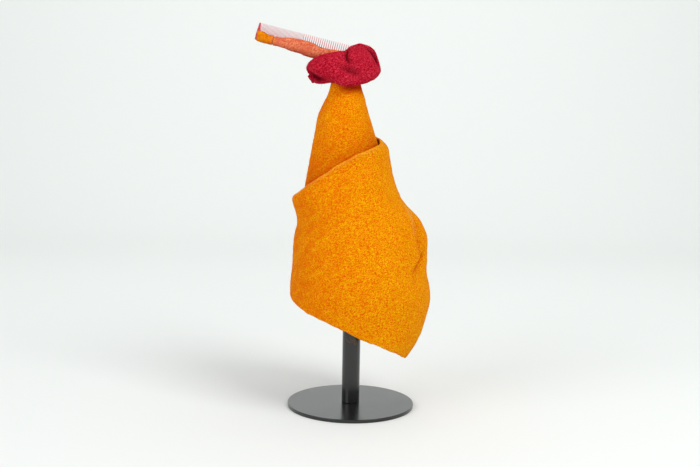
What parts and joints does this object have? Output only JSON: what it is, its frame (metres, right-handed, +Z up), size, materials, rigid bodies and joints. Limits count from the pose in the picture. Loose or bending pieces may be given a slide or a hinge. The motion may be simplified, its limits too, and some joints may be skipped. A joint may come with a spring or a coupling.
{
  "type": "felt hat on a display stand",
  "caption": "Tall cone-shaped felt hat with a slanting outer wrap, a felt knot on its tip and a plastic comb held in the knot, on a round metal display stand.",
  "frame": {"origin": "centre of the stand's underside", "axes": "+Z up along the stand's post, +X to the hat's right as seen from the front, -Y towards the front"},
  "size_m": [0.2506, 0.2008, 0.538],
  "materials": {
    "stand_steel": "satin black powder coat",
    "orange_felt": "hand-felted wool, matt, mottled orange",
    "red_felt": "hand-felted wool, matt, red",
    "coral_felt": "needle-felted wool, matt, coral flecked with orange",
    "red_plastic": "moulded plastic, semi-gloss"
  },
  "bodies": {
    "root": {"stand_base": "stand_steel", "stand_post": "stand_steel", "crown": "orange_felt", "wrap": "orange_felt", "knot": "red_felt", "comb": "red_plastic", "comb_sleeve": "coral_felt", "comb_sleeve_end": "orange_felt"}
  },
  "joints": []
}
